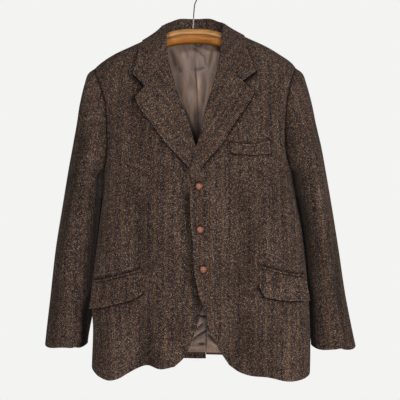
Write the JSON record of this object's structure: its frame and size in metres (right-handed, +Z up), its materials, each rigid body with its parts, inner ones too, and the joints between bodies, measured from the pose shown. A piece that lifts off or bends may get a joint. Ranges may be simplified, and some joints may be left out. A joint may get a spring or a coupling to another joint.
{
  "type": "tweed hacking jacket on a wooden hanger",
  "caption": "Single-breasted wool tweed jacket with notched lapels, slanted flap pockets, a chest welt and leather buttons, hanging closed on a wooden hanger with a wire hook.",
  "frame": {"origin": "inside top of the hanger's hook, where it hangs on a rail", "axes": "+Z up, the jacket's front faces -Y, and the wearer's left side is +X"},
  "size_m": [0.7217, 0.1897, 0.9131],
  "materials": {
    "woven_wool_tweed": "matt brown wool tweed with coloured flecks",
    "lining_satin": "taupe satin, soft sheen",
    "plaited_leather": "polished reddish-brown leather",
    "varnished_beech": "amber varnish",
    "bright_steel": "polished wire"
  },
  "bodies": {
    "root": {"front_left": "woven_wool_tweed", "front_right": "woven_wool_tweed", "back_left": "woven_wool_tweed", "back_right": "woven_wool_tweed", "top_sleeve_left": "woven_wool_tweed", "top_sleeve_right": "woven_wool_tweed", "under_sleeve_left": "woven_wool_tweed", "under_sleeve_right": "woven_wool_tweed", "lapel_left": "woven_wool_tweed", "lapel_right": "woven_wool_tweed", "flap_left": "woven_wool_tweed", "flap_right": "woven_wool_tweed", "jetting_left": "woven_wool_tweed", "jetting_right": "woven_wool_tweed", "collar": "woven_wool_tweed", "chest_welt": "woven_wool_tweed", "back_lining_left": "lining_satin", "back_lining_right": "lining_satin", "button_top": "plaited_leather", "button_middle": "plaited_leather", "button_bottom": "plaited_leather", "hanger_bow": "varnished_beech", "hanger_hook": "bright_steel"}
  },
  "joints": []
}
